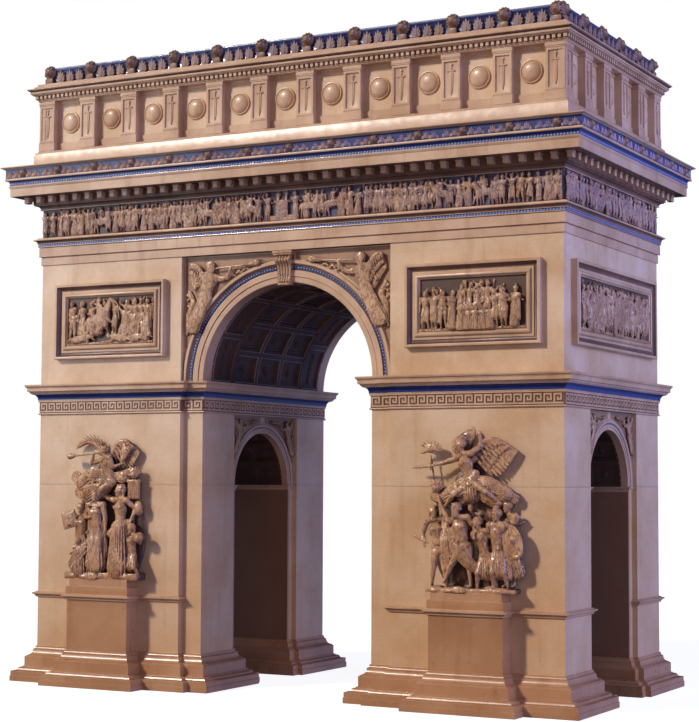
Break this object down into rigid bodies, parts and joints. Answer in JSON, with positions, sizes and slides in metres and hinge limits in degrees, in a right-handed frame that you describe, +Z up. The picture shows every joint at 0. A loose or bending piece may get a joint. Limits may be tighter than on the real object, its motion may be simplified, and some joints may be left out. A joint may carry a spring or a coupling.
{
  "type": "triumphal arch, 1:2 scale model",
  "caption": "Half-size triumphal arch: crossing vaulted passages, pedestals with sculpture groups, relief panels, figure frieze, deep cornice, attic and cresting.",
  "frame": {"origin": "on the ground, under the middle of the arch", "axes": "+Z up, +X along the width of the fronts, towards the right pier as seen from the front; the front faces -Y, and the main passage runs along Y"},
  "size_m": [24.918, 13.15, 24.77],
  "materials": {
    "wall_stone": "polished",
    "base_stone": "polished",
    "trim_stone": "polished",
    "sculpture_stone": "satin",
    "vault_stone": "satin",
    "cresting_stone": "satin"
  },
  "bodies": {
    "root": {"base_front_left": "base_stone", "base_front_right": "base_stone", "base_back_left": "base_stone", "base_back_right": "base_stone", "pier_front_left": "wall_stone", "pier_front_right": "wall_stone", "pier_back_left": "wall_stone", "pier_back_right": "wall_stone", "pedestal_front_left": "base_stone", "pedestal_front_right": "base_stone", "pedestal_back_left": "base_stone", "pedestal_back_right": "base_stone", "group_front_left": "sculpture_stone", "group_front_right": "sculpture_stone", "group_back_left": "sculpture_stone", "group_back_right": "sculpture_stone", "side_wall_left": "wall_stone", "side_wall_right": "wall_stone", "side_vaults": "vault_stone", "impost_left": "trim_stone", "impost_right": "trim_stone", "upper_wall_left": "wall_stone", "upper_wall_right": "wall_stone", "main_vault_ends": "vault_stone", "main_vault_middle": "vault_stone", "main_archivolts": "trim_stone", "side_archivolts": "trim_stone", "keystones": "trim_stone", "main_spandrels": "sculpture_stone", "side_spandrels": "sculpture_stone", "panel_frames": "trim_stone", "panel_reliefs": "sculpture_stone", "architrave": "trim_stone", "frieze": "sculpture_stone", "bed_moulding": "trim_stone", "modillions": "trim_stone", "main_cornice": "trim_stone", "attic_steps": "trim_stone", "attic_long_walls": "wall_stone", "attic_end_walls": "wall_stone", "attic_pilasters": "trim_stone", "attic_shields": "trim_stone", "attic_cornice": "trim_stone", "cresting_wall": "cresting_stone", "cresting_heads": "cresting_stone"}
  },
  "joints": []
}
